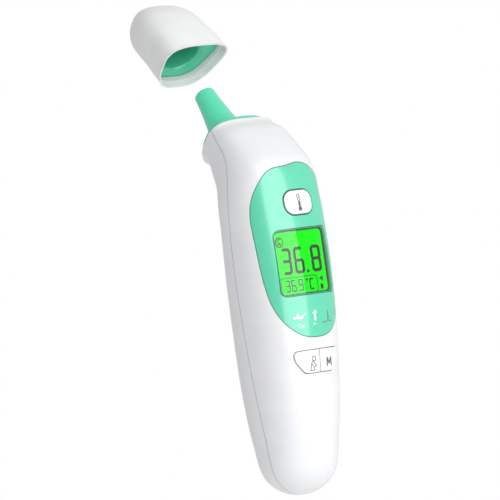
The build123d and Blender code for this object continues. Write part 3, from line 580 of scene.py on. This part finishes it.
# marks printed on the keys
scan_face = surface_of(["scan_key"])
stem = stroke(arc(0, 109.0, 0.6, 0.6, -60, 240, 16), 0.24)
stem += stroke([(-0.32, 108.5), (-0.32, 104.9)], 0.2) + stroke([(0.32, 108.5), (0.32, 104.9)], 0.2)
bulb = [round_spot(0, 104.2, 0.8)]
fill_line = stroke([(0, 104.4), (0, 106.9)], 0.28)
ticks = []
for step in range(5):
    ticks += stroke([(0.6, 105.4 + 0.75 * step), (1.1, 105.4 + 0.75 * step)], 0.14)
laid("scan_mark", stem + bulb + fill_line + ticks, scan_face, "scan_key", ink_grey)

age_face = surface_of(["age_key"])
person = stroke(round_spot(-2.8, 49.3, 0.8, 18), 0.24, True)
person += stroke([(-3.05, 48.4), (-3.95, 47.6), (-4.4, 45.0), (-2.7, 45.15), (-3.0, 46.1), (-1.8, 46.7),
                  (-2.55, 47.6), (-3.05, 48.4)], 0.24)
person += stroke([(-3.95, 47.1), (-3.6, 47.3), (-3.05, 46.5)], 0.22)
laid("person_outline", person, age_face, "age_key", ink_grey)

memory_face = surface_of(["memory_key"])
letter = stroke([(3.3, 46.1), (3.45, 49.0), (4.4, 46.8), (5.35, 49.0), (5.5, 46.1)], 0.5)
laid("memory_letter", letter, memory_face, "memory_key", ink_grey)

# ---- stage, light and camera ---------------------------------------------------------------------
SKY_DIM, SKY_BRIGHT = 0.42, 0.7         # light from the sides at low X and at high X
FLOOR_HEIGHT, FLOOR_RADIUS = -0.16, 1.6

world = bpy.data.worlds.new("studio")
bpy.context.scene.world = world
world.use_nodes = True
sky_nodes, sky_links = world.node_tree.nodes, world.node_tree.links
sky_nodes.clear()
ambient = sky_nodes.new("ShaderNodeBackground")
ambient.inputs["Color"].default_value = (0.98, 0.99, 1.0, 1.0)
backdrop = sky_nodes.new("ShaderNodeBackground")
backdrop.inputs["Color"].default_value = (1.0, 1.0, 1.0, 1.0)
rays = sky_nodes.new("ShaderNodeLightPath")
either = sky_nodes.new("ShaderNodeMixShader")
world_output = sky_nodes.new("ShaderNodeOutputWorld")
sky = sky_nodes.new("ShaderNodeTexCoord")
sky_parts = sky_nodes.new("ShaderNodeSeparateXYZ")
sky_fade = sky_nodes.new("ShaderNodeMapRange")
sky_fade.inputs["From Min"].default_value, sky_fade.inputs["From Max"].default_value = -0.9, 0.5
sky_fade.inputs["To Min"].default_value, sky_fade.inputs["To Max"].default_value = SKY_DIM, SKY_BRIGHT
sky_links.new(sky.outputs["Generated"], sky_parts.inputs["Vector"])
sky_links.new(sky_parts.outputs["X"], sky_fade.inputs["Value"])
sky_links.new(sky_fade.outputs["Result"], ambient.inputs["Strength"])
sky_links.new(rays.outputs["Is Camera Ray"], either.inputs[0])
sky_links.new(ambient.outputs[0], either.inputs[1])
sky_links.new(backdrop.outputs[0], either.inputs[2])
sky_links.new(either.outputs[0], world_output.inputs["Surface"])

bpy.ops.mesh.primitive_circle_add(vertices=96, radius=FLOOR_RADIUS, fill_type="NGON",
                                  location=(0, 0, FLOOR_HEIGHT))
floor = bpy.context.object
floor.name = "studio_floor"
floor_finish = Surface("floor_pale")
grain = floor_finish.noise(40.0, 3)
floor_finish.colours(grain, (0.93, 0.93, 0.93, 1), (0.95, 0.95, 0.95, 1))
floor_finish.set(Roughness=0.9, Emission_Color=(1, 1, 1, 1), Emission_Strength=0.1)
floor.data.materials.append(floor_finish.material)

AZIMUTH, ELEVATION, ROLL = radians(-38), radians(-1.3), radians(8.2)
across = Vector((cos(AZIMUTH), sin(AZIMUTH), 0))
towards = Vector((sin(AZIMUTH) * cos(ELEVATION), -cos(AZIMUTH) * cos(ELEVATION), sin(ELEVATION)))
level_up = towards.cross(across)
camera_right = across * cos(ROLL) - level_up * sin(ROLL)
camera_up = across * sin(ROLL) + level_up * cos(ROLL)
LENS, SENSOR, VIEW_WIDTH = 300.0, 36.0, 0.1852
distance = VIEW_WIDTH * LENS / SENSOR
aim = across * -0.0043 + Vector((0, 0, 0.0923))
camera_data = bpy.data.cameras.new("camera")
camera_data.lens = LENS
camera_data.sensor_width = SENSOR
camera_data.clip_start, camera_data.clip_end = 0.01, 20
camera = bpy.data.objects.new("camera", camera_data)
bpy.context.scene.collection.objects.link(camera)
camera.matrix_world = Matrix((
    (camera_right.x, camera_up.x, towards.x, aim.x + towards.x * distance),
    (camera_right.y, camera_up.y, towards.y, aim.y + towards.y * distance),
    (camera_right.z, camera_up.z, towards.z, aim.z + towards.z * distance),
    (0, 0, 0, 1)))
bpy.context.scene.camera = camera


def soft_light(name, place, look_at, size, size_y, power, sheen_only=False):
    """A softbox. With sheen_only it shows in reflections and lights no matt surface."""
    data = bpy.data.lights.new(name, "AREA")
    data.shape = "RECTANGLE"
    data.size, data.size_y = size, size_y
    data.energy = power
    light = bpy.data.objects.new(name, data)
    bpy.context.scene.collection.objects.link(light)
    light.location = place
    light.rotation_mode = "QUATERNION"
    light.rotation_quaternion = (Vector(look_at) - Vector(place)).to_track_quat("-Z", "Y")
    light.visible_diffuse = not sheen_only


def from_front(azimuth, elevation, reach):
    """A place round the handle's middle; azimuth 0 is straight out of the display side."""
    turn, rise = radians(azimuth), radians(elevation)
    return MIDDLE + Vector((sin(turn) * cos(rise), -cos(turn) * cos(rise), sin(rise))) * reach


MIDDLE = Vector((0, 0, 0.09))
SOFTBOX_SIZE = (1.22, 1.9)
soft_light("front_softbox", from_front(-6, 6, 1.0), MIDDLE, *SOFTBOX_SIZE, 10.5)
soft_light("front_sheen", from_front(-6, 6, 0.99), MIDDLE, *SOFTBOX_SIZE, 19.0, sheen_only=True)

bpy.context.scene.view_settings.view_transform = "Standard"
bpy.context.scene.view_settings.look = "None"
